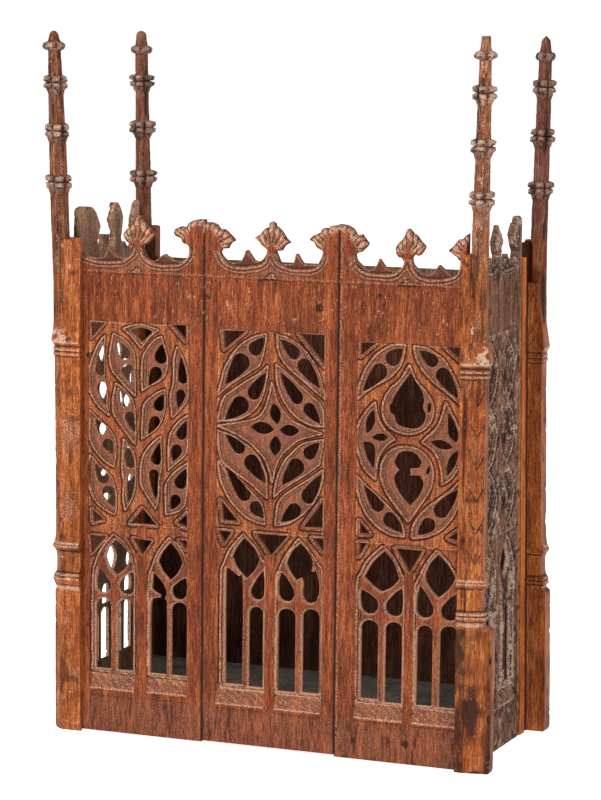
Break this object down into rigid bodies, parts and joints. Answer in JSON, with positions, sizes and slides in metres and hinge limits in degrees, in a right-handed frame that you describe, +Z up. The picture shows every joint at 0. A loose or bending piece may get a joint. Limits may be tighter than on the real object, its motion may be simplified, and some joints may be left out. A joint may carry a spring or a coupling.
{
  "type": "reliquary box",
  "caption": "Late Gothic oak reliquary box with pierced tracery panels, leafy cresting and corner posts that rise into pinnacles, open at the top.",
  "frame": {"origin": "on the ground under the middle of the whole outline", "axes": "+Z up, the three front panels face -Y, +X to their right as seen from the front"},
  "size_m": [0.5028, 0.2328, 0.741],
  "materials": {
    "oak_front": "reddish brown oiled oak, worn pale on its edges",
    "oak_post": "reddish brown oiled oak, darker and smoother than the panels",
    "oak_side": "dark, weathered oak with the surface lost in places",
    "oak_dark": "very dark unfinished oak boards"
  },
  "bodies": {
    "root": {"front_panel_left": "oak_front", "front_panel_middle": "oak_front", "front_panel_right": "oak_front", "side_panel_left": "oak_side", "side_panel_right": "oak_side", "post_front_left": "oak_post", "post_front_right": "oak_post", "post_back_left": "oak_post", "post_back_right": "oak_post", "side_batten_left": "oak_post", "side_batten_right": "oak_post", "floor_board": "oak_dark", "back_board_1": "oak_dark", "back_board_2": "oak_dark", "back_board_3": "oak_dark", "back_board_4": "oak_dark", "back_board_5": "oak_dark", "back_board_6": "oak_dark"}
  },
  "joints": []
}
